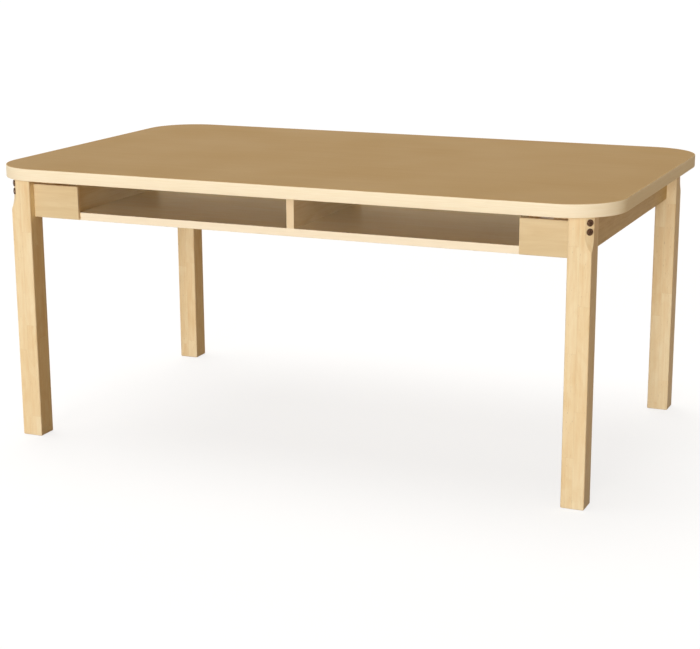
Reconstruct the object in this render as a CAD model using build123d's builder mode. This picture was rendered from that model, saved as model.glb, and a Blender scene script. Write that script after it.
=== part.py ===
from build123d import *
import os
from math import asin, degrees, sqrt

# Classroom desk with four open cubbies, two on each long side.
# Millimetres, +X along the length, +Y to the back, +Z up, origin on the floor under the centre.

# Whole desk
desk_length = 1524.0
desk_width = 914.4
desk_height = 668.0

# Top, from above to below
top_corner_radius = 127.0
laminate_thickness = 0.8
core_thickness = 27.8
backer_thickness = 0.6
band_thickness = 3.0
band_edge_round = 1.5

# Legs. The corner cut takes its size off each of a leg's two outer faces
leg_side = 52.5
leg_inset_x = 49.0
leg_inset_y = 30.0
leg_arris_round = 3.0
foot_bevel = 1.5
corner_cut = 15.0
corner_flat_height = 39.0
run_out_height = 38.0

# Cubby case
cubby_height = 77.0
shelf_thickness = 18.0
wall_thickness = 18.0
partition_thickness = 18.0
divider_thickness = 18.0
divider_offset = 2.0
case_edge_round = 1.0

# Short panels between the legs and the cubbies
panel_length = 111.0
panel_thickness = 9.5
panel_recess = 20.5
panel_lap = 10.5
panel_top_gap = 14.0
panel_lift = 1.6
panel_edge_round = 1.5

# End aprons
apron_thickness = 19.0
apron_depth = 89.0
apron_recess = 24.5

# Corner blocks and cleats
block_setback = 14.0
block_reach = 43.0
block_height = 50.0
block_screw_margin = 9.4
block_screw_reach = 20.5
cleat_side = 18.0
apron_cleat_gap = 10.0
wall_cleat_gap = 20.0
cleat_screw_count = 4

# Leg bolts, washers and nuts
bolt_diameter = 6.4
bolt_head_diameter = 15.0
bolt_head_thickness = 3.2
bolt_head_round = 1.2
bolt_socket_width = 5.0
bolt_socket_depth = 2.0
bolt_drop = 12.7
bolt_spacing = 19.3
bolt_tip = 2.5
washer_diameter = 16.0
washer_thickness = 1.6
nut_width = 11.0
nut_thickness = 5.5

# Screws and dowels
screw_diameter = 4.0
screw_head_diameter = 8.0
screw_head_thickness = 2.4
screw_head_round = 1.4
screw_drive_width = 2.6
screw_drive_depth = 1.3
screw_tip_length = 3.0
screw_tip_inset = 1.0
bite_in_top = 14.0
bite_in_board = 11.0
bite_in_edge = 28.0
screw_edge_distance = 16.0
shelf_screw_margin = 58.0
wall_screw_count = 4
partition_screw_count = 6
dowel_diameter = 8.0
dowel_depth_in_panel = 6.0
dowel_depth_in_wall = 20.0
dowel_edge_distance = 18.0

# Play between a round fastener and its hole
hole_clearance = 0.3

# Places worked out from the sizes above
half_length = desk_length / 2
half_width = desk_width / 2
top_thickness = laminate_thickness + core_thickness + backer_thickness
underside = desk_height - top_thickness
core_bottom = underside + backer_thickness
laminate_bottom = core_bottom + core_thickness

leg_outer_x = half_length - leg_inset_x
leg_outer_y = half_width - leg_inset_y
leg_inner_x = leg_outer_x - leg_side
leg_inner_y = leg_outer_y - leg_side

shelf_top = underside - cubby_height
shelf_bottom = shelf_top - shelf_thickness
wall_inner_x = leg_inner_x - panel_length
wall_outer_x = wall_inner_x + wall_thickness
wall_middle_x = wall_inner_x + wall_thickness / 2
panel_outer_y = leg_outer_y - panel_recess
panel_inner_y = panel_outer_y - panel_thickness
panel_top = underside - panel_top_gap
panel_bottom = shelf_bottom + panel_lift
partition_face_y = partition_thickness / 2
divider_middle_x = divider_offset + divider_thickness / 2

apron_outer_x = leg_outer_x - apron_recess
apron_inner_x = apron_outer_x - apron_thickness
block_bottom = underside - block_height
block_front_y = panel_inner_y - block_setback
block_end_x = leg_inner_x - block_reach
block_end_y = block_front_y - (apron_inner_x - block_end_x)

# The corner flat and its run-out, measured inwards from the leg's outer corner along its diagonal
cut_depth = corner_cut / sqrt(2)
flat_bottom = underside - corner_flat_height
run_out_radius = (run_out_height**2 + cut_depth**2) / (2 * cut_depth)
run_out_angle = degrees(asin(run_out_height / run_out_radius))
block_face_depth = ((leg_outer_x - block_end_x) + (leg_outer_y - block_front_y)) / sqrt(2)

bolt_heights = [underside - bolt_drop, underside - bolt_drop - bolt_spacing]
bolt_length = block_face_depth - cut_depth + washer_thickness + nut_thickness + bolt_tip
fastener_radius = screw_diameter / 2 + hole_clearance
counterbore_radius = screw_head_diameter / 2 + hole_clearance

corners = {
    "front_left": (-1, -1),
    "front_right": (1, -1),
    "back_left": (-1, 1),
    "back_right": (1, 1),
}
ends = {"left": -1, "right": 1}

os.makedirs("parts", exist_ok=True)


def save(builder, name):
    """Label the finished piece and write it under its own name."""
    builder.part.label = name
    export_step(builder.part, f"parts/{name}.step")


def corner_axis(side_x, side_y, height):
    """Plane at a leg's outer corner whose normal runs inwards along the leg's diagonal."""
    corner = (side_x * leg_outer_x, side_y * leg_outer_y, height)
    return Plane(origin=corner, x_dir=(-side_y, side_x, 0), z_dir=(-side_x, -side_y, 0))


def corner_section(side_x, side_y):
    """Upright plane through a leg's diagonal: local x runs inwards, local y runs up."""
    corner = (side_x * leg_outer_x, side_y * leg_outer_y, 0)
    return Plane(origin=corner, x_dir=(-side_x, -side_y, 0), z_dir=(-side_y, side_x, 0))


def bore(seats, radius, depth):
    """Drill from each seat along its normal; only used inside a part block."""
    with Locations(*[seat.location for seat in seats]):
        Cylinder(radius, depth, align=(Align.CENTER, Align.CENTER, Align.MIN), mode=Mode.SUBTRACT)


def counterbore(seats, radius, depth):
    """Open a pocket behind each seat, so that a screw's head reaches it."""
    with Locations(*[seat.location for seat in seats]):
        Cylinder(radius, depth, align=(Align.CENTER, Align.CENTER, Align.MAX), mode=Mode.SUBTRACT)


# Seats of the fasteners: each is a plane at the face under the head, with its normal
# in the driving direction

bolt_seats = [
    corner_axis(side_x, side_y, height).offset(cut_depth)
    for side_x, side_y in corners.values()
    for height in bolt_heights
]
washer_seats = [seat.offset(block_face_depth - cut_depth) for seat in bolt_seats]
nut_seats = [seat.offset(washer_thickness) for seat in washer_seats]

cleat_bottom = underside - cleat_side
cleat_middle = underside - cleat_side / 2
apron_cleat_inner_x = apron_inner_x - cleat_side
wall_cleat_outer_x = wall_outer_x + cleat_side
apron_cleat_length = 2 * (block_end_y - apron_cleat_gap)
wall_cleat_length = 2 * (panel_inner_y - wall_cleat_gap)
apron_cleat_pitch = apron_cleat_length / cleat_screw_count
wall_cleat_pitch = wall_cleat_length / cleat_screw_count


def middle_places(count, pitch):
    """Places spread evenly about zero."""
    return [pitch * (index - (count - 1) / 2) for index in range(count)]


def rising_seat(x, y, height):
    """Seat of a screw that is driven straight up."""
    return Plane(origin=(x, y, height), z_dir=(0, 0, 1))


def in_one_list(*groups):
    """All the seats of some named groups, one after the other."""
    return [seat for group in groups for seats in group.values() for seat in seats]


block_screw_places = [
    (block_end_x + block_screw_reach, block_front_y - block_screw_margin),
    (apron_inner_x - block_screw_margin, block_end_y + block_screw_reach),
]
block_top_seats = {
    name: [rising_seat(side_x * x, side_y * y, cleat_bottom) for x, y in block_screw_places]
    for name, (side_x, side_y) in corners.items()
}
apron_cleat_top_seats = {
    end: [
        rising_seat(side * (apron_inner_x - cleat_side / 2), y, cleat_bottom)
        for y in middle_places(cleat_screw_count, apron_cleat_pitch)
    ]
    for end, side in ends.items()
}
wall_cleat_top_seats = {
    end: [
        rising_seat(side * (wall_outer_x + cleat_side / 2), y, cleat_bottom)
        for y in middle_places(cleat_screw_count, wall_cleat_pitch)
    ]
    for end, side in ends.items()
}
top_seats = in_one_list(block_top_seats, apron_cleat_top_seats, wall_cleat_top_seats)

apron_side_seats = {
    end: [
        Plane(origin=(side * apron_cleat_inner_x, y, cleat_middle), z_dir=(side, 0, 0))
        for y in middle_places(cleat_screw_count - 1, apron_cleat_pitch)
    ]
    for end, side in ends.items()
}
wall_side_seats = {
    end: [
        Plane(origin=(side * wall_cleat_outer_x, y, cleat_middle), z_dir=(-side, 0, 0))
        for y in middle_places(cleat_screw_count - 1, wall_cleat_pitch)
    ]
    for end, side in ends.items()
}

# The shelf's screws sit with their heads flush in its underside
shelf_seat_height = shelf_bottom + screw_head_thickness
wall_screw_pitch = 2 * (panel_inner_y - shelf_screw_margin) / (wall_screw_count - 1)
partition_screw_pitch = 2 * (wall_inner_x - shelf_screw_margin) / (partition_screw_count - 1)
divider_near_y = partition_face_y + shelf_screw_margin
divider_far_y = panel_inner_y - shelf_screw_margin
divider_screw_places = [divider_near_y, (divider_near_y + divider_far_y) / 2, divider_far_y]
wall_shelf_seats = {
    end: [
        rising_seat(side * wall_middle_x, y, shelf_seat_height)
        for y in middle_places(wall_screw_count, wall_screw_pitch)
    ]
    for end, side in ends.items()
}
partition_shelf_seats = [
    rising_seat(x, 0, shelf_seat_height)
    for x in middle_places(partition_screw_count, partition_screw_pitch)
]
divider_shelf_seats = {
    side: [rising_seat(-side * divider_middle_x, side * y, shelf_seat_height) for y in divider_screw_places]
    for side in (-1, 1)
}
shelf_seats = in_one_list(wall_shelf_seats, divider_shelf_seats) + partition_shelf_seats

# Screws through the walls into the partition, and through the partition into each divider
end_screw_heights = [shelf_top + screw_edge_distance, cleat_bottom - screw_edge_distance]
partition_end_seats = {
    end: [Plane(origin=(side * wall_outer_x, 0, height), z_dir=(-side, 0, 0)) for height in end_screw_heights]
    for end, side in ends.items()
}
divider_end_seats = {
    side: [
        Plane(origin=(-side * divider_middle_x, -side * partition_face_y, height), z_dir=(0, side, 0))
        for height in end_screw_heights
    ]
    for side in (-1, 1)
}

# Dowels from the short panels into the front and back edges of the cubby walls
dowel_heights = [shelf_top + dowel_edge_distance, panel_top - dowel_edge_distance]
dowel_seats = {
    name: [
        Plane(
            origin=(side_x * wall_middle_x, side_y * (panel_inner_y + dowel_depth_in_panel), height),
            z_dir=(0, -side_y, 0),
        )
        for height in dowel_heights
    ]
    for name, (side_x, side_y) in corners.items()
}
dowel_length = dowel_depth_in_panel + dowel_depth_in_wall
dowel_hole_radius = dowel_diameter / 2 + hole_clearance

top_screw_length = cleat_side + bite_in_top
side_screw_length = cleat_side + bite_in_board
shelf_screw_length = shelf_thickness - screw_head_thickness + bite_in_edge
partition_screw_length = wall_thickness + bite_in_edge
divider_screw_length = partition_thickness + bite_in_edge


# Top core: the board that the sheets and the band are bonded to

with BuildPart() as top_core:
    with BuildSketch(Plane.XY.offset(core_bottom)):
        RectangleRounded(
            desk_length - 2 * band_thickness,
            desk_width - 2 * band_thickness,
            top_corner_radius - band_thickness,
        )
    extrude(amount=core_thickness)
    bore(top_seats, fastener_radius, top_screw_length + hole_clearance)
save(top_core, "top_core")

# Top laminate: the hard sheet that is written on

with BuildPart() as top_laminate:
    with BuildSketch(Plane.XY.offset(laminate_bottom)):
        RectangleRounded(
            desk_length - 2 * band_thickness,
            desk_width - 2 * band_thickness,
            top_corner_radius - band_thickness,
        )
    extrude(amount=laminate_thickness)
save(top_laminate, "top_laminate")

# Top backer: the plain balancing sheet underneath, drilled for the screws

with BuildPart() as top_backer:
    with BuildSketch(Plane.XY.offset(underside)):
        RectangleRounded(
            desk_length - 2 * band_thickness,
            desk_width - 2 * band_thickness,
            top_corner_radius - band_thickness,
        )
    extrude(amount=backer_thickness)
    bore(top_seats, fastener_radius, top_screw_length)
save(top_backer, "top_backer")

# Edge band: one strip round all four sides, with both outer edges rounded

with BuildPart() as edge_band:
    with BuildSketch(Plane.XY.offset(underside)):
        RectangleRounded(desk_length, desk_width, top_corner_radius)
    extrude(amount=top_thickness)
    fillet(
        edge_band.edges().group_by(Axis.Z)[0] + edge_band.edges().group_by(Axis.Z)[-1],
        radius=band_edge_round,
    )
    with BuildSketch(Plane.XY.offset(underside)):
        RectangleRounded(
            desk_length - 2 * band_thickness,
            desk_width - 2 * band_thickness,
            top_corner_radius - band_thickness,
        )
    extrude(amount=top_thickness, mode=Mode.SUBTRACT)
save(edge_band, "edge_band")


# Legs: square posts with eased edges; the outer corner is cut flat at the top for the bolts
# and the cut runs out in an arc

for name, (side_x, side_y) in corners.items():
    with BuildPart() as leg:
        with BuildSketch():
            with Locations((side_x * (leg_outer_x - leg_side / 2), side_y * (leg_outer_y - leg_side / 2))):
                Rectangle(leg_side, leg_side)
        extrude(amount=underside)
        fillet(leg.edges().filter_by(Axis.Z), radius=leg_arris_round)
        chamfer(leg.faces().sort_by(Axis.Z)[0].edges(), length=foot_bevel)
        with BuildSketch(corner_section(side_x, side_y)):
            with BuildLine():
                run_out = CenterArc(
                    (cut_depth - run_out_radius, flat_bottom), run_out_radius, 0, -run_out_angle
                )
                Polyline(
                    run_out @ 0,
                    (cut_depth, underside),
                    (-corner_cut, underside),
                    (-corner_cut, flat_bottom - run_out_height),
                    run_out @ 1,
                )
            make_face()
        extrude(amount=corner_cut, both=True, mode=Mode.SUBTRACT)
        bore(
            [corner_axis(side_x, side_y, height) for height in bolt_heights],
            bolt_diameter / 2 + hole_clearance,
            block_face_depth,
        )
    save(leg, f"leg_{name}")


# Short panels: the thin board between each leg and the cubby beside it, fixed over the ends of the
# shelf and the wall and open above. Two of them, on opposite corners, lap past the cubby wall

for name, (side_x, side_y) in corners.items():
    lap = panel_lap if side_x == side_y else 0.0
    panel_end_x = wall_inner_x - lap
    with BuildPart() as panel:
        with BuildSketch(Plane.XY.offset(panel_bottom)):
            with Locations(
                (side_x * (panel_end_x + leg_inner_x) / 2, side_y * (panel_inner_y + panel_outer_y) / 2)
            ):
                Rectangle(leg_inner_x - panel_end_x, panel_thickness)
        extrude(amount=panel_top - panel_bottom)
        outer_face = panel.faces().sort_by(Axis.Y)[-1 if side_y > 0 else 0]
        near_cubby = outer_face.edges().sort_by(Axis.X)[0 if side_x > 0 else -1]
        fillet(
            outer_face.edges().filter_by(Axis.X) + ShapeList([near_cubby]),
            radius=panel_edge_round,
        )
        bore(dowel_seats[name], dowel_hole_radius, dowel_length)
    save(panel, f"panel_{name}")


# End aprons: one board under each end of the top, butted between two legs

for end, side in ends.items():
    with BuildPart() as apron:
        with BuildSketch(Plane.XY.offset(underside - apron_depth)):
            with Locations((side * (apron_inner_x + apron_outer_x) / 2, 0)):
                Rectangle(apron_thickness, 2 * leg_inner_y)
        extrude(amount=apron_depth)
        fillet(
            apron.faces().sort_by(Axis.Z)[0].edges().filter_by(Axis.Y),
            radius=panel_edge_round,
        )
        bore(apron_side_seats[end], fastener_radius, side_screw_length + hole_clearance)
    save(apron, f"apron_{end}")


# Shelf: the floor of all four cubbies. Its long edges show between the short panels, which are
# fixed over its ends

with BuildPart() as shelf:
    with BuildSketch(Plane.XY.offset(shelf_bottom)):
        Rectangle(2 * wall_outer_x, 2 * panel_inner_y)
    extrude(amount=shelf_thickness)
    lower_edges = shelf.faces().sort_by(Axis.Z)[0].edges().filter_by(Axis.X).group_by(Axis.Y)
    fillet(lower_edges[0] + lower_edges[-1], radius=case_edge_round)
    bore(shelf_seats, fastener_radius, shelf_thickness)
    counterbore(shelf_seats, counterbore_radius, screw_head_thickness)
save(shelf, "shelf")


# Cubby walls: they stand on the shelf and run from the front panels to the back panels

for end, side in ends.items():
    with BuildPart() as wall:
        with BuildSketch(Plane.XY.offset(shelf_top)):
            with Locations((side * wall_middle_x, 0)):
                Rectangle(wall_thickness, 2 * panel_inner_y)
        extrude(amount=cubby_height)
        bore(wall_shelf_seats[end], fastener_radius, shelf_screw_length + hole_clearance)
        bore(wall_side_seats[end], fastener_radius, side_screw_length + hole_clearance)
        bore(partition_end_seats[end], fastener_radius, wall_thickness)
        for name, (side_x, side_y) in corners.items():
            if side_x == side:
                bore(dowel_seats[name], dowel_hole_radius, dowel_length + hole_clearance)
    save(wall, f"wall_{end}")


# Partition: the back of all four cubbies, halfway between the long sides

with BuildPart() as partition:
    with BuildSketch(Plane.XY.offset(shelf_top)):
        Rectangle(2 * wall_inner_x, partition_thickness)
    extrude(amount=cubby_height)
    bore(partition_shelf_seats, fastener_radius, shelf_screw_length + hole_clearance)
    for seats in partition_end_seats.values():
        bore(seats, fastener_radius, partition_screw_length + hole_clearance)
    for seats in divider_end_seats.values():
        bore(seats, fastener_radius, partition_thickness)
save(partition, "partition")


# Dividers: one each side of the partition, set apart so that each can be screwed from behind

for name, side in {"front": -1, "back": 1}.items():
    with BuildPart() as divider:
        with BuildSketch(Plane.XY.offset(shelf_top)):
            with Locations((-side * divider_middle_x, side * (partition_face_y + panel_inner_y) / 2)):
                Rectangle(divider_thickness, panel_inner_y - partition_face_y)
        extrude(amount=cubby_height)
        bore(divider_shelf_seats[side], fastener_radius, shelf_screw_length + hole_clearance)
        bore(divider_end_seats[side], fastener_radius, divider_screw_length + hole_clearance)
    save(divider, f"divider_{name}")


# Corner blocks: each holds a leg's inner corner against the end apron, and its slanted face takes
# the washers and nuts

for name, (side_x, side_y) in corners.items():
    outline = [
        (leg_inner_x, block_front_y),
        (block_end_x, block_front_y),
        (apron_inner_x, block_end_y),
        (apron_inner_x, leg_inner_y),
        (leg_inner_x, leg_inner_y),
    ]
    with BuildPart() as block:
        with BuildSketch(Plane.XY.offset(block_bottom)):
            with BuildLine():
                Polyline([(side_x * x, side_y * y) for x, y in outline], close=True)
            make_face()
        extrude(amount=block_height)
        bore(
            [corner_axis(side_x, side_y, height) for height in bolt_heights],
            bolt_diameter / 2 + hole_clearance,
            block_face_depth,
        )
        bore(block_top_seats[name], fastener_radius, cleat_side)
        counterbore(block_top_seats[name], counterbore_radius, block_height - cleat_side)
    save(block, f"corner_block_{name}")


# Cleats: strips screwed to the aprons and to the walls, and up into the top

for end, side in ends.items():
    with BuildPart() as apron_cleat:
        with BuildSketch(Plane.XY.offset(cleat_bottom)):
            with Locations((side * (apron_inner_x - cleat_side / 2), 0)):
                Rectangle(cleat_side, apron_cleat_length)
        extrude(amount=cleat_side)
        bore(apron_cleat_top_seats[end], fastener_radius, cleat_side)
        bore(apron_side_seats[end], fastener_radius, cleat_side)
    save(apron_cleat, f"apron_cleat_{end}")

    with BuildPart() as wall_cleat:
        with BuildSketch(Plane.XY.offset(cleat_bottom)):
            with Locations((side * (wall_outer_x + cleat_side / 2), 0)):
                Rectangle(cleat_side, wall_cleat_length)
        extrude(amount=cleat_side)
        bore(wall_cleat_top_seats[end], fastener_radius, cleat_side)
        bore(wall_side_seats[end], fastener_radius, cleat_side)
    save(wall_cleat, f"wall_cleat_{end}")


# Leg bolts: low round heads with a hex socket, drawn with the seat under the head at zero

with BuildPart() as one_bolt:
    with BuildSketch(Plane.XY.offset(-bolt_head_thickness)):
        Circle(bolt_head_diameter / 2)
    extrude(amount=bolt_head_thickness)
    fillet(one_bolt.edges().sort_by(Axis.Z)[0], radius=bolt_head_round)
    with BuildSketch(Plane.XY.offset(-bolt_head_thickness)):
        RegularPolygon(bolt_socket_width / 2, 6, major_radius=False)
    extrude(amount=bolt_socket_depth, mode=Mode.SUBTRACT)
    with BuildSketch():
        Circle(bolt_diameter / 2)
    extrude(amount=bolt_length)

with BuildPart() as leg_bolts:
    with Locations(*[seat.location for seat in bolt_seats]):
        add(one_bolt.part)
save(leg_bolts, "leg_bolts")

with BuildPart() as one_washer:
    with BuildSketch():
        Circle(washer_diameter / 2)
        Circle(bolt_diameter / 2 + hole_clearance, mode=Mode.SUBTRACT)
    extrude(amount=washer_thickness)

with BuildPart() as bolt_washers:
    with Locations(*[seat.location for seat in washer_seats]):
        add(one_washer.part)
save(bolt_washers, "bolt_washers")

with BuildPart() as one_nut:
    with BuildSketch():
        RegularPolygon(nut_width / 2, 6, major_radius=False)
        Circle(bolt_diameter / 2 + hole_clearance, mode=Mode.SUBTRACT)
    extrude(amount=nut_thickness)

with BuildPart() as bolt_nuts:
    with Locations(*[seat.location for seat in nut_seats]):
        add(one_nut.part)
save(bolt_nuts, "bolt_nuts")


def round_head_screw(length):
    """Screw with a flat-bottomed round head and a square drive, seat under the head at zero."""
    with BuildPart() as screw:
        with BuildSketch(Plane.XY.offset(-screw_head_thickness)):
            Circle(screw_head_diameter / 2)
        extrude(amount=screw_head_thickness)
        fillet(screw.edges().sort_by(Axis.Z)[0], radius=screw_head_round)
        with BuildSketch(Plane.XY.offset(-screw_head_thickness)):
            Rectangle(screw_drive_width, screw_drive_width)
        extrude(amount=screw_drive_depth, mode=Mode.SUBTRACT)
        with BuildSketch():
            Circle(screw_diameter / 2)
        extrude(amount=length)
        chamfer(
            screw.edges().filter_by(GeomType.CIRCLE).sort_by(Axis.Z)[-1],
            length=screw_tip_length,
            length2=screw_tip_inset,
        )
    return screw.part


def save_screws(name, sets):
    """Write one group of screws: each set is a length and the seats that take it."""
    with BuildPart() as group:
        for length, seats in sets:
            one_screw = round_head_screw(length)
            with Locations(*[seat.location for seat in seats]):
                add(one_screw)
    save(group, name)


save_screws("top_screws", [(top_screw_length, top_seats)])
save_screws("cleat_screws", [(side_screw_length, in_one_list(apron_side_seats, wall_side_seats))])
save_screws("shelf_screws", [(shelf_screw_length, shelf_seats)])
save_screws(
    "partition_screws",
    [
        (partition_screw_length, in_one_list(partition_end_seats)),
        (divider_screw_length, in_one_list(divider_end_seats)),
    ],
)

# Dowels

with BuildPart() as one_dowel:
    with BuildSketch():
        Circle(dowel_diameter / 2)
    extrude(amount=dowel_length)

with BuildPart() as panel_dowels:
    with Locations(*[seat.location for seat in in_one_list(dowel_seats)]):
        add(one_dowel.part)
save(panel_dowels, "panel_dowels")
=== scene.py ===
# %% [markdown]
# # A classroom desk with open cubbies
# This file dresses a imported CAD desk for a studio picture. The CAD model already has the true shapes and
# sizes, so most pieces only need the right finish, and a few are made again with finer meshes. The first step
# loads the imported model and bakes each piece's place into its mesh.

# %% Load the imported model
from math import cos, pi, radians, sin

import bpy
from mathutils import Euler, Matrix, Vector


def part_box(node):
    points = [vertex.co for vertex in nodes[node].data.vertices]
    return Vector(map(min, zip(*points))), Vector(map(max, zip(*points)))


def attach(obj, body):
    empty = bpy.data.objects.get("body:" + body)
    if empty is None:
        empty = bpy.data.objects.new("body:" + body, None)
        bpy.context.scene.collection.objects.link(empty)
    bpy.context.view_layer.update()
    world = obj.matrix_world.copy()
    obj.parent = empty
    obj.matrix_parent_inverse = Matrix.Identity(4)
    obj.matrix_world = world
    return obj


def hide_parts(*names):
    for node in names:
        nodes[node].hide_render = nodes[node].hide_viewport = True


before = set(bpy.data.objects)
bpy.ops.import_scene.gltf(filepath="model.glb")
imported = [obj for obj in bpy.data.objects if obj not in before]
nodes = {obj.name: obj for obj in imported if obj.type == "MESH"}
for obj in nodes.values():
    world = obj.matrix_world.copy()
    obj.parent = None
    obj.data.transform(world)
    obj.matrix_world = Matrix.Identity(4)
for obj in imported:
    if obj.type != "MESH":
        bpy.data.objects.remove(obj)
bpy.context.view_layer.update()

print("pieces in the packed model:", len(nodes))

# %% [markdown]
# Sizes are written in millimetres, because furniture makers use them, and Blender's unit here is the metre.
# Colours are written as the hex codes that a screen shows, and Blender's nodes want linear light, so one
# function turns the one into the other.

# %% Units and colours
MM = 0.001


def linear(hex_code):
    """Linear RGBA of an sRGB hex colour such as #C8A87A."""
    values = [int(hex_code[place : place + 2], 16) / 255 for place in (1, 3, 5)]
    return [v / 12.92 if v <= 0.04045 else ((v + 0.055) / 1.055) ** 2.4 for v in values] + [1.0]


print("mid grey in linear light:", [round(v, 3) for v in linear("#808080")])

# %% [markdown]
# Every finish and every Geometry Nodes tree is a graph of nodes. One small function adds a node, sets its
# options and fills its inputs: an input that is given a socket is linked, and any other value is typed in.
# Shorter ones build on it for the nodes that come back in every finish, and give the socket to link from.

# %% Functions that add nodes


def add(tree, kind, inputs=(), **settings):
    """Add a node to a tree, set its options, then fill or link its inputs."""
    node = tree.nodes.new(kind)
    for name, value in settings.items():
        setattr(node, name, value)
    for name, value in dict(inputs).items():
        if isinstance(value, bpy.types.NodeSocket):
            tree.links.new(value, node.inputs[name])
        else:
            node.inputs[name].default_value = value
    return node


def calc(tree, operation, *values, **settings):
    """The result of a calculation on one to three values."""
    return add(tree, "ShaderNodeMath", enumerate(values), operation=operation, **settings).outputs[0]


def ramp(tree, value, low, high, start, end):
    """A value that runs from start to end while the one given runs from low to high, held at both ends."""
    return add(tree, "ShaderNodeMapRange", {0: value, 1: low, 2: high, 3: start, 4: end}).outputs[0]


def blend(tree, share, first, second):
    """A colour between two others."""
    return add(tree, "ShaderNodeMix", {0: share, 6: first, 7: second}, data_type="RGBA").outputs[2]


def noise(tree, vector, size, detail, distortion=0.0):
    """Noise whose features are about as wide as the size given."""
    inputs = {"Vector": vector, "Scale": 1 / size, "Detail": detail, "Distortion": distortion}
    return add(tree, "ShaderNodeTexNoise", inputs).outputs["Fac"]


def stretched(tree, vector, grain, times, **settings):
    """Coordinates that make a texture longer along one axis by the number of times given."""
    scale = [1.0, 1.0, 1.0]
    scale[grain] = 1 / times
    return add(tree, "ShaderNodeMapping", {"Vector": vector, "Scale": scale, **settings}).outputs[0]


def roughen(tree, shader, height, strength, distance):
    """Give a shader a fine relief from a height."""
    relief = add(tree, "ShaderNodeBump", {"Height": height, "Strength": strength, "Distance": distance})
    tree.links.new(relief.outputs[0], shader.inputs["Normal"])


def new_finish(name):
    """An empty material with its Principled shader and the output it feeds."""
    material = bpy.data.materials.new(name)
    material.use_nodes = True
    tree = material.node_tree
    tree.nodes.clear()
    shader = add(tree, "ShaderNodeBsdfPrincipled")
    add(tree, "ShaderNodeOutputMaterial", {"Surface": shader.outputs[0]})
    return material, tree, shader


def dress(node_names, material):
    """Give CAD pieces a finish; their meshes stay as they are."""
    for name in node_names:
        nodes[name].data.materials.clear()
        nodes[name].data.materials.append(material)
    print(material.name, "on", len(node_names), "pieces")


# %% [markdown]
# ## Hardwood
# The legs and end aprons are pale birch or maple under a clear satin lacquer. Such wood is nearly white with
# soft growth bands, fine fibres and short dark flecks that all run along the board. Noise that is squeezed
# across the board and stretched along it gives all three at their own real widths. The legs are glued up from
# two strips, and each strip from shorter blocks joined end to end, so every block has its own tint and grain.

# %% Hardwood finish
LACQUER_IOR = 1.5
GROWTH_BAND = 7 * MM
FIBRE = 0.9 * MM
FLECK = 1.1 * MM
FIGURE_PATCH = 38 * MM
KNOT_CELL = 170 * MM
STRIP_WIDTH = 26.25 * MM
BLOCK_LENGTH = 230 * MM
GLUE_CORE = 0.15 * MM
GLUE_EDGE = 0.45 * MM
FIBRE_RELIEF = 0.15 * MM
SKEW = (0.3, 0.3, 0.3)
FIBRE_STRETCH, FLECK_STRETCH, FIGURE_STRETCH, KNOT_STRETCH = 28, 9, 2.5, 2.2


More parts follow.
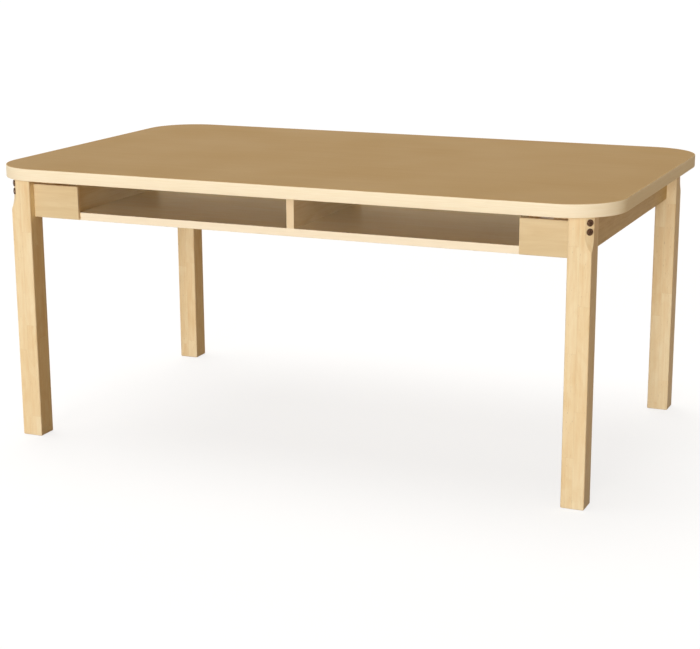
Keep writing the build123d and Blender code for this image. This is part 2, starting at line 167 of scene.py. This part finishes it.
def hardwood(name, grain, pale, dark, strip_middle=None, roughness=0.42):
    """Pale hardwood whose grain runs along one axis (0, 1 or 2); legs also state where their strips meet."""
    material, tree, shader = new_finish(name)
    place = add(tree, "ShaderNodeTexCoord").outputs["Object"]
    xyz = add(tree, "ShaderNodeSeparateXYZ", {0: place})
    shade = 0.5
    shift = (0.0, 0.0, 0.0)
    if strip_middle is not None:
        side = calc(tree, "ABSOLUTE", xyz.outputs[0])
        from_joint = calc(tree, "SUBTRACT", side, strip_middle)
        strip_no = calc(tree, "FLOOR", calc(tree, "DIVIDE", from_joint, STRIP_WIDTH))
        sign_x = calc(tree, "SIGN", xyz.outputs[0])
        sign_y = calc(tree, "SIGN", xyz.outputs[1])
        key = add(tree, "ShaderNodeCombineXYZ", {0: sign_x, 1: sign_y, 2: strip_no})
        start = add(tree, "ShaderNodeTexWhiteNoise", {"Vector": key.outputs[0]}, noise_dimensions="3D")
        height = calc(tree, "DIVIDE", xyz.outputs[2], BLOCK_LENGTH)
        height = calc(tree, "ADD", height, start.outputs["Value"])
        drawn = {"Vector": key.outputs[0], "W": calc(tree, "FLOOR", height)}
        own = add(tree, "ShaderNodeTexWhiteNoise", drawn, noise_dimensions="4D")
        shade = own.outputs["Value"]
        shift = own.outputs["Color"]
    along = stretched(tree, place, grain, FIBRE_STRETCH, Location=shift)
    bands = noise(tree, along, GROWTH_BAND, 2.0, 0.5)
    fibres = noise(tree, along, FIBRE, 3.0)
    flecks = noise(tree, stretched(tree, place, grain, FLECK_STRETCH, Location=shift), FLECK, 1.0)
    fleck = ramp(tree, flecks, 0.70, 0.78, 0.0, 0.38)
    band = ramp(tree, bands, 0.35, 0.68, 0.0, 0.34)
    fine = ramp(tree, fibres, 0.3, 0.7, -0.1, 0.16)
    mixed = calc(tree, "ADD", band, fine)
    skewed = stretched(tree, place, grain, FIGURE_STRETCH, Location=shift, Rotation=SKEW)
    figure = noise(tree, skewed, FIGURE_PATCH, 2.0, 1.5)
    patch = ramp(tree, figure, 0.36, 0.64, -0.12, 0.2)
    mixed = calc(tree, "ADD", mixed, patch)
    tint = calc(tree, "MULTIPLY_ADD", shade, 0.3, mixed, use_clamp=True)
    body = blend(tree, tint, linear(pale), linear(dark))
    marked = blend(tree, fleck, body, linear("#8A6338"))
    cells = {"Vector": stretched(tree, place, grain, KNOT_STRETCH), "Scale": 1 / KNOT_CELL}
    knots = add(tree, "ShaderNodeTexVoronoi", cells)
    knot = ramp(tree, knots.outputs["Distance"], 0.018, 0.055, 0.75, 0.0)
    colour = blend(tree, knot, marked, linear("#6E4420"))
    if strip_middle is not None:
        apart = calc(tree, "ABSOLUTE", from_joint)
        glue = ramp(tree, apart, GLUE_CORE, GLUE_EDGE, 0.12, 0.0)
        run = calc(tree, "FRACT", height)
        end = ramp(tree, run, 0.0010, 0.0026, 0.14, 0.0)
        lines = calc(tree, "MAXIMUM", glue, end)
        colour = blend(tree, lines, colour, linear("#8F6A3E"))
    tree.links.new(colour, shader.inputs["Base Color"])
    gloss = ramp(tree, fibres, 0.3, 0.7, roughness - 0.05, roughness + 0.08)
    tree.links.new(gloss, shader.inputs["Roughness"])
    roughen(tree, shader, fibres, 0.12, FIBRE_RELIEF)
    shader.inputs["IOR"].default_value = LACQUER_IOR
    shader.inputs["Specular IOR Level"].default_value = 0.04
    return material


PLANED = ("#DFC093", "#C29A66")

leg_low, leg_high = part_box("leg_front_right")
leg_middle = (leg_low.x + leg_high.x) / 2
leg_wood = hardwood("lacquered_birch_leg", 2, "#F5E5C1", "#E6C998", strip_middle=leg_middle)
dress([name for name in nodes if name.startswith("leg_") and name != "leg_bolts"], leg_wood)
# The aprons' birch is darker than the legs' birch: painted shade, matched to their outer faces, which lie in
# shade.
apron_wood_in_painted_shade = hardwood("lacquered_birch_apron_painted_shade", 1, "#E4CF9E", "#CDB27D")
dress(["apron_left", "apron_right"], apron_wood_in_painted_shade)
block_wood = hardwood("planed_birch_block", 2, *PLANED, roughness=0.6)
dress([name for name in nodes if name.startswith("corner_block")], block_wood)
cleat_wood = hardwood("planed_birch_cleat", 1, *PLANED, roughness=0.6)
dress([name for name in nodes if "_cleat_" in name], cleat_wood)

# %% [markdown]
# ## Plywood
# The shelf, walls, dividers, partition and short panels are birch plywood under a clear gloss lacquer. Its
# faces are rotary-cut veneer, with broad wavy figure and fine lines. Its cut edges show the plies, light
# where the fibres run along the edge and darker where their ends show. The surface normal tells the shader
# which of the two it is on, and the plies are counted along the board's thickness. The photo has a dark line
# above each short panel, where the end of a cubby wall would show pale. The walls' cut edges get brown plies
# here, as painted shade that keeps that line dark, which is a guess.

# %% Plywood finish
PLY = 1.38 * MM
FIGURE = 26 * MM
VENEER_LINE = 1.3 * MM
VENEER_RELIEF = 0.1 * MM
BROAD_STRETCH, LINE_STRETCH = 9, 40
PANEL_FACES = ("#E4D2AC", "#DAC49A")
SHELF_FACES = ("#F5E7CA", "#E6D2AC")
INNER_FACES = ("#F7E8CA", "#E8D2A8")
CLEAN_PLIES = ("#F6E6C6", "#E0C498")
# Brown plies for the walls' cut edges: painted shade that keeps the line above the short panels dark.
PAINTED_SHADE_PLIES = ("#8E7850", "#6F5B38")


def plywood(node, grain, through, faces, roughness=0.2, banded=None, gleam=0.5, plies=CLEAN_PLIES):
    """Dress a board in birch plywood, with its grain and its thickness each along an axis. An axis named as
    banded has its cut edges covered by a strip of veneer."""
    material, tree, shader = new_finish("birch_plywood_" + node)
    coordinates = add(tree, "ShaderNodeTexCoord")
    place = coordinates.outputs["Object"]
    xyz = add(tree, "ShaderNodeSeparateXYZ", {0: place})
    facing = add(tree, "ShaderNodeSeparateXYZ", {0: coordinates.outputs["Normal"]})
    figure = noise(tree, stretched(tree, place, grain, BROAD_STRETCH), FIGURE, 3.0, 1.2)
    lines = noise(tree, stretched(tree, place, grain, LINE_STRETCH), VENEER_LINE, 3.0)
    wave = ramp(tree, figure, 0.35, 0.65, 0.05, 0.75)
    fine = ramp(tree, lines, 0.3, 0.7, -0.18, 0.26)
    both = calc(tree, "ADD", wave, fine, use_clamp=True)
    veneer = blend(tree, both, linear(faces[0]), linear(faces[1]))
    depth = calc(tree, "SUBTRACT", xyz.outputs[through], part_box(node)[0][through])
    ply_no = calc(tree, "FRACT", calc(tree, "DIVIDE", depth, 2 * PLY))
    in_ply = ramp(tree, ply_no, 0.46, 0.54, 0.1, 0.8)
    ply = blend(tree, in_ply, linear(plies[0]), linear(plies[1]))
    away = calc(tree, "ABSOLUTE", facing.outputs[through])
    on_edge = calc(tree, "LESS_THAN", away, 0.6)
    colour = blend(tree, on_edge, veneer, ply)
    if banded is not None:
        out = calc(tree, "ABSOLUTE", facing.outputs[banded])
        strip = calc(tree, "GREATER_THAN", out, 0.5)
        band = blend(tree, fine, linear("#FBF0D8"), linear("#EFDAB4"))
        colour = blend(tree, strip, colour, band)
    tree.links.new(colour, shader.inputs["Base Color"])
    gloss = ramp(tree, figure, 0.3, 0.7, roughness - 0.04, roughness + 0.06)
    tree.links.new(gloss, shader.inputs["Roughness"])
    roughen(tree, shader, lines, 0.1, VENEER_RELIEF)
    shader.inputs["IOR"].default_value = LACQUER_IOR
    shader.inputs["Specular IOR Level"].default_value = gleam
    dress([node], material)


for name in ("panel_front_left", "panel_front_right", "panel_back_left", "panel_back_right"):
    plywood(name, 0, 1, PANEL_FACES, roughness=0.4, gleam=0.08)
plywood("shelf", 0, 2, SHELF_FACES, banded=1)
for name in ("wall_left", "wall_right"):
    # The walls' cut edges take the brown plies: painted shade for the dark line above the short panels.
    plywood(name, 1, 0, INNER_FACES, plies=PAINTED_SHADE_PLIES)
plywood("partition", 0, 1, INNER_FACES)
for name in ("divider_front", "divider_back"):
    plywood(name, 1, 0, INNER_FACES)

# %% [markdown]
# ## The top
# The writing surface is a sheet of tan high-pressure laminate. Its paper is printed with a faint straight
# grain and pressed against a suede plate, which leaves a satin sheen and pits too small to see one by one.
# Years of use would leave a few pale scuffs, so a little stretched noise lightens the print here and there.

# %% Laminate finish
PRINT_BAND = 16 * MM
PRINT_LINE = 2.2 * MM
PRINT_CLOUD = 200 * MM
SUEDE_PIT = 0.5 * MM
PIT_DEPTH = 0.05 * MM
SCUFF = 4 * MM
SCUFF_TURN = radians(8)
PRINT_STRETCH, SCUFF_STRETCH = 22, 7

material, tree, shader = new_finish("satin_laminate")
place = add(tree, "ShaderNodeTexCoord").outputs["Object"]
printing = stretched(tree, place, 0, PRINT_STRETCH)
bands = noise(tree, printing, PRINT_BAND, 2.0, 0.4)
lines = noise(tree, printing, PRINT_LINE, 3.0)
wide = noise(tree, place, PRINT_CLOUD, 1.0)
together = calc(tree, "ADD", calc(tree, "ADD", bands, lines), wide)
tone = ramp(tree, together, 1.1, 1.9, 0.0, 1.0)
printed = blend(tree, tone, linear("#AA8D60"), linear("#A6885B"))
scuffs = stretched(tree, place, 0, SCUFF_STRETCH, Rotation=(0, 0, SCUFF_TURN))
scuff = noise(tree, scuffs, SCUFF, 2.0)
worn = ramp(tree, scuff, 0.7, 0.82, 0.0, 0.16)
surface = blend(tree, worn, printed, linear("#E6D2AE"))
tree.links.new(surface, shader.inputs["Base Color"])
pits = noise(tree, place, SUEDE_PIT, 2.0)
sheen = ramp(tree, wide, 0.3, 0.7, 0.62, 0.7)
tree.links.new(sheen, shader.inputs["Roughness"])
roughen(tree, shader, pits, 0.15, PIT_DEPTH)
shader.inputs["IOR"].default_value = LACQUER_IOR
shader.inputs["Specular IOR Level"].default_value = 0.05
dress(["top_laminate"], material)

# %% [markdown]
# Under the core lies a plain balancing sheet, which keeps the top flat. It is matt, a little mottled, and has
# the tan of kraft paper under resin. The core itself is chipboard, and shows only inside the screw holes.

# %% Backer and core finishes
SHEET_CLOUD = 30 * MM
SHEET_FIBRE = 1.5 * MM
SHEET_RELIEF = 0.1 * MM
CHIP = 3 * MM

material, tree, shader = new_finish("balancing_sheet")
place = add(tree, "ShaderNodeTexCoord").outputs["Object"]
clouds = noise(tree, place, SHEET_CLOUD, 4.0)
fibre = noise(tree, place, SHEET_FIBRE, 2.0)
mottle = blend(tree, clouds, linear("#DCC49C"), linear("#CDB084"))
tree.links.new(mottle, shader.inputs["Base Color"])
roughen(tree, shader, fibre, 0.2, SHEET_RELIEF)
shader.inputs["Roughness"].default_value = 0.62
dress(["top_backer"], material)

material, tree, shader = new_finish("chipboard")
place = add(tree, "ShaderNodeTexCoord").outputs["Object"]
flakes = add(tree, "ShaderNodeTexVoronoi", {"Vector": place, "Scale": 1 / CHIP})
flake = add(tree, "ShaderNodeSeparateColor", {0: flakes.outputs["Color"]})
chips = blend(tree, flake.outputs[0], linear("#B8935F"), linear("#8A6537"))
tree.links.new(chips, shader.inputs["Base Color"])
shader.inputs["Roughness"].default_value = 0.85
dress(["top_core"], material)

# %% [markdown]
# ## The edge band
# A strip of pale plastic is glued all round the board and rounded over at both edges. On the CAD model it is
# one node. Here its section is swept along the top's outline with Geometry Nodes, because a sweep is how the
# real strip is laid: the section stays the same and only the path bends. The path is a rectangle with
# filleted corners, and the section is a thin rectangle whose two outer corners are filleted.

# %% Edge band: measures
band_low, band_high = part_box("edge_band")
band_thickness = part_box("top_laminate")[0].x - band_low.x
band_height = band_high.z - band_low.z
CORNER_RADIUS = 127 * MM
BAND_ROUND = 1.5 * MM
CORNER_STEPS = 40
ROUND_STEPS = 5
print("band is", round(band_thickness / MM, 2), "mm thick and", round(band_height / MM, 2), "mm high")

# %% [markdown]
# The tree below draws the path and the section and sweeps the one along the other. Its sizes are named
# inputs, so the same tree would band any other top with round corners. Two small functions open and close a
# tree, because the bolts further down need the same beginning and end.

# %% Edge band: the sweep


def new_recipe(name, numbers):
    """An empty Geometry Nodes tree with named numbers and a material to fill in."""
    tree = bpy.data.node_groups.new(name, "GeometryNodeTree")
    for number in numbers:
        tree.interface.new_socket(number, in_out="INPUT", socket_type="NodeSocketFloat")
    tree.interface.new_socket("Material", in_out="INPUT", socket_type="NodeSocketMaterial")
    tree.interface.new_socket("Geometry", in_out="OUTPUT", socket_type="NodeSocketGeometry")
    return tree


def hand_over(tree, geometry, material):
    """End a tree: make the geometry real, give it its material and put it out."""
    real = add(tree, "GeometryNodeRealizeInstances", {0: geometry})
    finished = add(tree, "GeometryNodeSetMaterial", {"Geometry": real.outputs[0], "Material": material})
    add(tree, "NodeGroupOutput", {0: finished.outputs[0]})
    print(tree.name, "has", len(tree.nodes), "nodes")


tree = new_recipe(
    "swept_edge_band", ("Length", "Width", "Height", "Corner Radius", "Thickness", "Edge Round", "Bottom")
)
given = add(tree, "NodeGroupInput")
path_length = calc(tree, "SUBTRACT", given.outputs["Length"], given.outputs["Thickness"])
path_width = calc(tree, "SUBTRACT", given.outputs["Width"], given.outputs["Thickness"])
half = calc(tree, "MULTIPLY", given.outputs["Thickness"], 0.5)
path_radius = calc(tree, "SUBTRACT", given.outputs["Corner Radius"], half)
path = add(tree, "GeometryNodeCurvePrimitiveQuadrilateral", {"Width": path_length, "Height": path_width})
rounded = add(tree, "GeometryNodeFilletCurve", {"Curve": path.outputs[0], "Radius": path_radius})
rounded.mode = "POLY"
rounded.inputs["Count"].default_value = CORNER_STEPS
sides = {"Width": given.outputs["Thickness"], "Height": given.outputs["Height"]}
section = add(tree, "GeometryNodeCurvePrimitiveQuadrilateral", sides)
at = add(tree, "GeometryNodeInputPosition")
split = add(tree, "ShaderNodeSeparateXYZ", {0: at.outputs[0]})
outer = calc(tree, "GREATER_THAN", split.outputs[0], 0.0)
corner = calc(tree, "MULTIPLY", outer, given.outputs["Edge Round"])
eased = add(tree, "GeometryNodeFilletCurve", {"Curve": section.outputs[0], "Radius": corner})
eased.mode = "POLY"
eased.inputs["Count"].default_value = ROUND_STEPS
swept = add(tree, "GeometryNodeCurveToMesh", {"Curve": rounded.outputs[0], "Profile Curve": eased.outputs[0]})
lift = calc(tree, "MULTIPLY_ADD", given.outputs["Height"], 0.5, given.outputs["Bottom"])
up = add(tree, "ShaderNodeCombineXYZ", {2: lift})
placed = add(tree, "GeometryNodeTransform", {"Geometry": swept.outputs[0], "Translation": up.outputs[0]})
hand_over(tree, placed.outputs[0], given.outputs["Material"])
band_tree = tree

# %% [markdown]
# A Geometry Nodes modifier is only the recipe. The function below runs it: it types a value into each
# named input, then turns the evaluated result into a plain mesh, which rides like any other piece.

# %% Run a Geometry Nodes tree and keep its mesh


def grow(name, tree, values, sharp):
    """Run a tree on an empty mesh and return a plain object at the origin, creased where faces turn more
    than sharp, in degrees."""
    carrier = bpy.data.objects.new(name + "_recipe", bpy.data.meshes.new(name + "_recipe"))
    bpy.context.scene.collection.objects.link(carrier)
    modifier = carrier.modifiers.new("recipe", "NODES")
    modifier.node_group = tree
    for item in tree.interface.items_tree:
        if item.in_out == "INPUT" and item.name in values:
            modifier[item.identifier] = values[item.name]
    bpy.context.view_layer.update()
    evaluated = carrier.evaluated_get(bpy.context.evaluated_depsgraph_get())
    mesh = bpy.data.meshes.new_from_object(evaluated)
    bpy.data.objects.remove(carrier)
    mesh.name = name
    for polygon in mesh.polygons:
        polygon.use_smooth = True
    mesh.set_sharp_from_angle(angle=radians(sharp))
    piece = bpy.data.objects.new(name, mesh)
    bpy.context.scene.collection.objects.link(piece)
    print(name, "has", len(mesh.polygons), "faces and is", [round(size, 4) for size in piece.dimensions])
    return piece


# %% [markdown]
# The band's plastic is a warm cream with a very faint print of grain along its length. Squeezing noise in
# height only gives streaks that follow the strip round every corner. The photo shows no pale line round the
# top at the right end, so the strip's up-facing part is darkened to the sheet's tan: painted shade, a guess.

# %% Edge band: finish and piece
STREAK = 1.6 * MM
STREAK_STRETCH = 40
STREAK_RELIEF = 0.05 * MM

material, tree, shader = new_finish("maple_tone_abs_band")
coordinates = add(tree, "ShaderNodeTexCoord")
place = coordinates.outputs["Object"]
flat_scale = (1 / STREAK_STRETCH, 1 / STREAK_STRETCH, 1.0)
flat = add(tree, "ShaderNodeMapping", {"Vector": place, "Scale": flat_scale})
streaks = noise(tree, flat.outputs[0], STREAK, 2.0)
streak = ramp(tree, streaks, 0.3, 0.7, 0.0, 1.0)
cream = blend(tree, streak, linear("#FCF3DB"), linear("#F8ECD0"))
facing = add(tree, "ShaderNodeSeparateXYZ", {0: coordinates.outputs["Normal"]})
# Faces that turn upwards are darkened towards a tan here: painted shade.
up_face_painted_shade = ramp(tree, facing.outputs[2], 0.35, 0.8, 0.0, 1.0)
band_colour = blend(tree, up_face_painted_shade, cream, linear("#B79868"))
tree.links.new(band_colour, shader.inputs["Base Color"])
roughen(tree, shader, streaks, 0.08, STREAK_RELIEF)
shader.inputs["Roughness"].default_value = 0.46
shader.inputs["IOR"].default_value = 1.5
shader.inputs["Specular IOR Level"].default_value = 0.02

band = grow(
    "edge_band_swept",
    band_tree,
    {
        "Length": band_high.x - band_low.x,
        "Width": band_high.y - band_low.y,
        "Height": band_height,
        "Corner Radius": CORNER_RADIUS,
        "Thickness": band_thickness,
        "Edge Round": BAND_ROUND,
        "Bottom": band_low.z,
        "Material": material,
    },
    sharp=40,
)
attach(band, "root")
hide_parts("edge_band")

# %% [markdown]
# ## Metal
# The leg bolts are bronzed: steel with a dark brown conversion coat. Washers, nuts and screws are zinc
# plated, a soft grey. Both coats are a little cloudy, and a fine grit breaks up the gloss.

# %% Metal finishes
GRIT = 0.4 * MM


def plated_steel(name, dark, light, roughness, grain):
    """Plated steel: a cloudy change between two colours, and a fine grit in the gloss."""
    material, tree, shader = new_finish(name)
    place = add(tree, "ShaderNodeTexCoord").outputs["Object"]
    clouds = noise(tree, place, grain, 3.0)
    grit = noise(tree, place, GRIT, 1.0)
    cloud = ramp(tree, clouds, 0.35, 0.65, 0.0, 1.0)
    coat = blend(tree, cloud, linear(dark), linear(light))
    tree.links.new(coat, shader.inputs["Base Color"])
    gloss = ramp(tree, grit, 0.3, 0.7, roughness - 0.06, roughness + 0.08)
    tree.links.new(gloss, shader.inputs["Roughness"])
    shader.inputs["Metallic"].default_value = 1.0
    return material


bronzed = plated_steel("bronzed_steel", "#4A3425", "#745844", 0.26, 3 * MM)
zinc = plated_steel("zinc_plated_steel", "#A7A59C", "#C2C0B6", 0.34, 2 * MM)
dress([name for name in nodes if name.endswith("_screws") or name in ("bolt_nuts", "bolt_washers")], zinc)
dress(["panel_dowels"], cleat_wood)

# %% [markdown]
# ## Leg bolts
# Two low round-headed bolts close each leg joint, driven through the flat on the leg's outer corner with a
# hex key. Only the head shows, with a dark socket in its middle. One bolt is turned from rings of points, and
# the rings inside the socket are pushed out to a hexagon. Geometry Nodes then sets eight of them, two at each
# corner, and turns each to face along its leg's diagonal.

# %% One bolt from rings
HEAD_RADIUS = 7.5 * MM
HEAD_HEIGHT = 3.2 * MM
HEAD_ROUND = 1.8 * MM
HEAD_EASE = 0.25 * MM
SOCKET_HALF = 2.5 * MM
SOCKET_FLOOR = 1.2 * MM
SOCKET_EASE = 0.3 * MM
SHANK_RADIUS = 3.2 * MM
SHANK_LENGTH = 97.6 * MM
AROUND = 36
ROUND_RINGS = 4


def hexagon(half_width, angle):
    """Distance from the middle to the side of a hexagon in a given direction."""
    return half_width / cos((angle + pi / 6) % (pi / 3) - pi / 6)


def one_bolt():
    """A bolt with the seat under its head at zero, its head upwards and its shank downwards."""
    in_socket = [
        (SOCKET_EASE, SOCKET_FLOOR),
        (SOCKET_HALF, SOCKET_FLOOR),
        (SOCKET_HALF, HEAD_HEIGHT - SOCKET_EASE),
        (SOCKET_HALF + SOCKET_EASE, HEAD_HEIGHT),
    ]
    middle = (HEAD_RADIUS - HEAD_ROUND, HEAD_HEIGHT - HEAD_ROUND)
    turns = [step / ROUND_RINGS * pi / 2 for step in range(ROUND_RINGS + 1)]
    round_edge = [(middle[0] + HEAD_ROUND * sin(turn), middle[1] + HEAD_ROUND * cos(turn)) for turn in turns]
    below = [
        (HEAD_RADIUS, HEAD_EASE),
        (HEAD_RADIUS - HEAD_EASE, 0.0),
        (SHANK_RADIUS, 0.0),
        (SHANK_RADIUS, -SHANK_LENGTH),
    ]
    points = []
    for radius, height in in_socket + round_edge + below:
        for step in range(AROUND):
            angle = 2 * pi * step / AROUND
            reach = hexagon(radius, angle) if (radius, height) in in_socket else radius
            points.append((reach * cos(angle), reach * sin(angle), height))
    faces = [tuple(range(AROUND)), tuple(range(len(points) - AROUND, len(points)))[::-1]]
    for near in range(0, len(points) - AROUND, AROUND):
        for step in range(AROUND):
            following = (step + 1) % AROUND
            far = near + AROUND
            faces.append((near + step, far + step, far + following, near + following))
    mesh = bpy.data.meshes.new("one_bolt")
    mesh.from_pydata(points, [], faces)
    piece = bpy.data.objects.new("one_bolt", mesh)
    bpy.context.scene.collection.objects.link(piece)
    print("one bolt has", len(faces), "faces")
    return piece


# %% [markdown]
# The second tree counts to eight and works out from each number which corner and which row a bolt belongs to,
# so that the corners mirror each other exactly.

# %% Leg bolts: set eight of them
tree = new_recipe("eight_leg_bolts", ("Seat X", "Seat Y", "Upper Height", "Spacing"))
tree.interface.new_socket("Bolt", in_out="INPUT", socket_type="NodeSocketObject")
given = add(tree, "NodeGroupInput")
eight = add(tree, "GeometryNodeMeshLine", {"Count": 8})
number = add(tree, "GeometryNodeInputIndex").outputs[0]
side_x = calc(tree, "MULTIPLY_ADD", calc(tree, "MODULO", number, 2.0), 2.0, -1.0)
pair = calc(tree, "FLOOR", calc(tree, "MULTIPLY", number, 0.5))
side_y = calc(tree, "MULTIPLY_ADD", calc(tree, "MODULO", pair, 2.0), 2.0, -1.0)
row = calc(tree, "GREATER_THAN", number, 3.5)
drop = calc(tree, "MULTIPLY", row, given.outputs["Spacing"])
seat_x = calc(tree, "MULTIPLY", side_x, given.outputs["Seat X"])
seat_y = calc(tree, "MULTIPLY", side_y, given.outputs["Seat Y"])
seat_z = calc(tree, "SUBTRACT", given.outputs["Upper Height"], drop)
seat = add(tree, "ShaderNodeCombineXYZ", {0: seat_x, 1: seat_y, 2: seat_z})
set_out = add(tree, "GeometryNodeSetPosition", {"Geometry": eight.outputs[0], "Position": seat.outputs[0]})
outward = add(tree, "ShaderNodeCombineXYZ", {0: side_x, 1: side_y})
facing = add(tree, "FunctionNodeAlignRotationToVector", {"Vector": outward.outputs[0]}, axis="Z")
template = add(tree, "GeometryNodeObjectInfo", {"Object": given.outputs["Bolt"]})
bolts = add(
    tree,
    "GeometryNodeInstanceOnPoints",
    {"Points": set_out.outputs[0], "Instance": template.outputs["Geometry"], "Rotation": facing.outputs[0]},
)
hand_over(tree, bolts.outputs[0], given.outputs["Material"])
bolt_tree = tree

# %% [markdown]
# The heads sit in the middle of the flat that is cut from each leg's outer corner. Their height and spacing
# are those of the CAD model, which took them from the photo.

# %% Leg bolts: the piece
CORNER_CUT = 15 * MM
BOLT_HEIGHT = 626.1 * MM
BOLT_SPACING = 19.3 * MM

leg_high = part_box("leg_back_right")[1]
template = one_bolt()
leg_bolts = grow(
    "leg_bolts_turned",
    bolt_tree,
    {
        "Bolt": template,
        "Seat X": leg_high.x - CORNER_CUT / 2,
        "Seat Y": leg_high.y - CORNER_CUT / 2,
        "Upper Height": BOLT_HEIGHT,
        "Spacing": BOLT_SPACING,
        "Material": bronzed,
    },
    sharp=35,
)
bpy.data.objects.remove(template)
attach(leg_bolts, "root")
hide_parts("leg_bolts")

# %% [markdown]
# ## Studio
# The desk stands on a plain white floor that reaches past the frame. For the camera and for reflections the
# floor is mostly a white glow, which keeps the background clean, and partly a lit surface, which keeps the
# desk's soft shadow. For light that bounces it is a plain warm brown. It is clear for a camera below it, and
# lies a hair under the feet, so that the two flat faces don't coincide.

# %% Floor
FLOOR_REACH = 30.0
FLOOR_GAP = 0.3 * MM
GLOW_SHARE = 0.75
GLOW_STRENGTH = 1.05
WHITE = (1.0, 1.0, 1.0, 1.0)


def seen_directly(tree):
    """Two values: one for camera rays, and one for these together with mirrored and refracted rays."""
    path = add(tree, "ShaderNodeLightPath")
    seen = calc(tree, "MAXIMUM", path.outputs["Is Camera Ray"], path.outputs["Is Glossy Ray"])
    return path.outputs["Is Camera Ray"], calc(tree, "MAXIMUM", seen, path.outputs["Is Transmission Ray"])


mesh = bpy.data.meshes.new("studio_floor")
quarters = ((-1, -1), (1, -1), (1, 1), (-1, 1))
rim = [(x * FLOOR_REACH, y * FLOOR_REACH, -FLOOR_GAP) for x, y in quarters]
mesh.from_pydata(rim, [], [(0, 1, 2, 3)])
floor = bpy.data.objects.new("studio_floor", mesh)
bpy.context.scene.collection.objects.link(floor)
material = bpy.data.materials.new("studio_floor")
material.use_nodes = True
tree = material.node_tree
tree.nodes.clear()
from_camera, seen = seen_directly(tree)
lit = add(tree, "ShaderNodeBsdfDiffuse", {"Color": blend(tree, seen, linear("#A08358"), WHITE)})
glow = add(tree, "ShaderNodeEmission", {"Color": WHITE, "Strength": GLOW_STRENGTH})
share = calc(tree, "MULTIPLY", seen, GLOW_SHARE)
blended = add(tree, "ShaderNodeMixShader", {0: share, 1: lit.outputs[0], 2: glow.outputs[0]})
side = add(tree, "ShaderNodeNewGeometry")
from_below = calc(tree, "MULTIPLY", side.outputs["Backfacing"], from_camera)
clear = add(tree, "ShaderNodeBsdfTransparent")
floor_look = add(tree, "ShaderNodeMixShader", {0: from_below, 1: blended.outputs[0], 2: clear.outputs[0]})
add(tree, "ShaderNodeOutputMaterial", {"Surface": floor_look.outputs[0]})
mesh.materials.append(material)

# %% [markdown]
# The light is that of a product photograph. A broad lamp low in front gives the bright front faces, and a
# small one lower still reaches into the cubbies. One overhead lights the top, a dim warm one on the right
# keeps the end from going dull, and one behind lets the far side read. Sun lamps with a wide angle act as
# very large softboxes and light the floor evenly. The world adds a dim warm glow, and is white where seen.

# %% Lamps and world


def softbox(name, direction, strength, angle, colour=(1.0, 1.0, 1.0), shines=True):
    """A wide sun lamp that shines from a direction, given as a vector from the desk to the lamp."""
    lamp = bpy.data.lights.new(name, "SUN")
    lamp.energy = strength
    lamp.angle = radians(angle)
    lamp.color = colour
    holder = bpy.data.objects.new(name, lamp)
    holder.rotation_euler = Vector(direction).to_track_quat("Z", "Y").to_euler()
    holder.visible_glossy = shines
    bpy.context.scene.collection.objects.link(holder)
    print(name, "at strength", strength)


softbox("front_softbox", (0.05, -0.99, 0.136), 1.87, 36)
softbox("low_front_softbox", (0.07, -0.996, 0.052), 0.8, 6)
softbox("right_fill", (0.86, -0.5, 0.15), 0.16, 40, colour=(1.0, 0.68, 0.34), shines=False)
softbox("overhead_softbox", (-0.25, 0.1, 1.0), 2.0, 50)
softbox("back_fill", (-0.45, 0.8, 0.3), 1.0, 60, shines=False)

world = bpy.data.worlds.new("studio")
bpy.context.scene.world = world
world.use_nodes = True
tree = world.node_tree
tree.nodes.clear()
seen = seen_directly(tree)[1]
ambient = add(tree, "ShaderNodeBackground", {"Color": (1.0, 0.76, 0.42, 1.0), "Strength": 0.16})
white = add(tree, "ShaderNodeBackground", {"Color": WHITE, "Strength": 1.0})
sky = add(tree, "ShaderNodeMixShader", {0: seen, 1: ambient.outputs[0], 2: white.outputs[0]})
add(tree, "ShaderNodeOutputWorld", {"Surface": sky.outputs[0]})
bpy.context.scene.view_settings.view_transform = "Standard"

# %% [markdown]
# ## Camera
# The photograph was taken from the front right, a little above the top. The place, turn and lens below come
# from fitting a pinhole camera to the desk's edges as they lie in the picture, 700 pixels wide.

# %% Camera
IMAGE_WIDTH = 700
FOCAL_PIXELS = 1649.1
SENSOR = 36.0

FARTHEST = 200.0
PLACE = (1.57595, -3.69196, 1.24586)
TURNED_LEFT, TIPPED, ROLLED = 0.4069, -0.2438, -0.0047

camera = bpy.data.cameras.new("photo_camera")
camera.sensor_width = SENSOR
camera.sensor_fit = "HORIZONTAL"
camera.lens = FOCAL_PIXELS / IMAGE_WIDTH * SENSOR
camera.clip_end = FARTHEST
holder = bpy.data.objects.new("photo_camera", camera)
turn = Euler((pi / 2 + TIPPED, 0.0, TURNED_LEFT)).to_matrix() @ Matrix.Rotation(ROLLED, 3, "Z")
holder.matrix_world = Matrix.Translation(PLACE) @ turn.to_4x4()
bpy.context.scene.collection.objects.link(holder)
bpy.context.scene.camera = holder
print("lens of", round(camera.lens, 2), "mm on a", SENSOR, "mm sensor")
